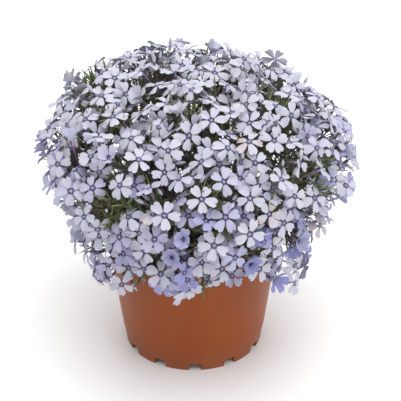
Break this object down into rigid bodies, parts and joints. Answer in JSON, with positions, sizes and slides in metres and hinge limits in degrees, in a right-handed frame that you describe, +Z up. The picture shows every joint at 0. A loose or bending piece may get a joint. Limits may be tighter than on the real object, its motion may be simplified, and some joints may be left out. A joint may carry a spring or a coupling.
{
  "type": "phlox plant in a nursery pot",
  "caption": "Rounded mound of creeping phlox in flower, its five-petalled blooms on branching sprays above leafy shoots, standing in soil in a tapered footed pot.",
  "frame": {"origin": "on the ground under the middle of the whole plant; the pot's own axis stands about 4 mm to the -X side of it", "axes": "+Z up; -Y is the side the picture shows, +X is to its right"},
  "size_m": [0.232, 0.2338, 0.2224],
  "materials": {
    "pot": "terracotta-coloured plastic, satin",
    "soil": "dark rough potting compost, matt",
    "blooms": "soft pale lavender petals, matt",
    "foliage": "narrow green leaves on brownish stems, faint sheen"
  },
  "bodies": {
    "root": {"leafy_shoot_01": "foliage", "leafy_shoot_02": "foliage", "leafy_shoot_03": "foliage", "leafy_shoot_04": "foliage", "leafy_shoot_05": "foliage", "leafy_shoot_06": "foliage", "leafy_shoot_07": "foliage", "leafy_shoot_08": "foliage", "leafy_shoot_09": "foliage", "leafy_shoot_10": "foliage", "pot": "pot", "soil": "soil", "spray_01": "blooms", "spray_02": "blooms", "spray_03": "blooms", "spray_04": "blooms", "spray_05": "blooms", "spray_06": "blooms", "spray_07": "blooms", "spray_08": "blooms", "spray_09": "blooms", "spray_10": "blooms", "spray_11": "blooms", "spray_12": "blooms", "spray_13": "blooms", "spray_14": "blooms", "spray_15": "blooms", "spray_16": "blooms", "spray_17": "blooms", "spray_18": "blooms", "spray_19": "blooms", "spray_20": "blooms", "spray_21": "blooms", "spray_22": "blooms", "spray_23": "blooms", "spray_24": "blooms", "spray_25": "blooms", "spray_26": "blooms", "spray_27": "blooms", "spray_28": "blooms", "spray_29": "blooms", "spray_30": "blooms", "spray_31": "blooms", "spray_32": "blooms", "spray_33": "blooms", "spray_34": "blooms"}
  },
  "joints": []
}
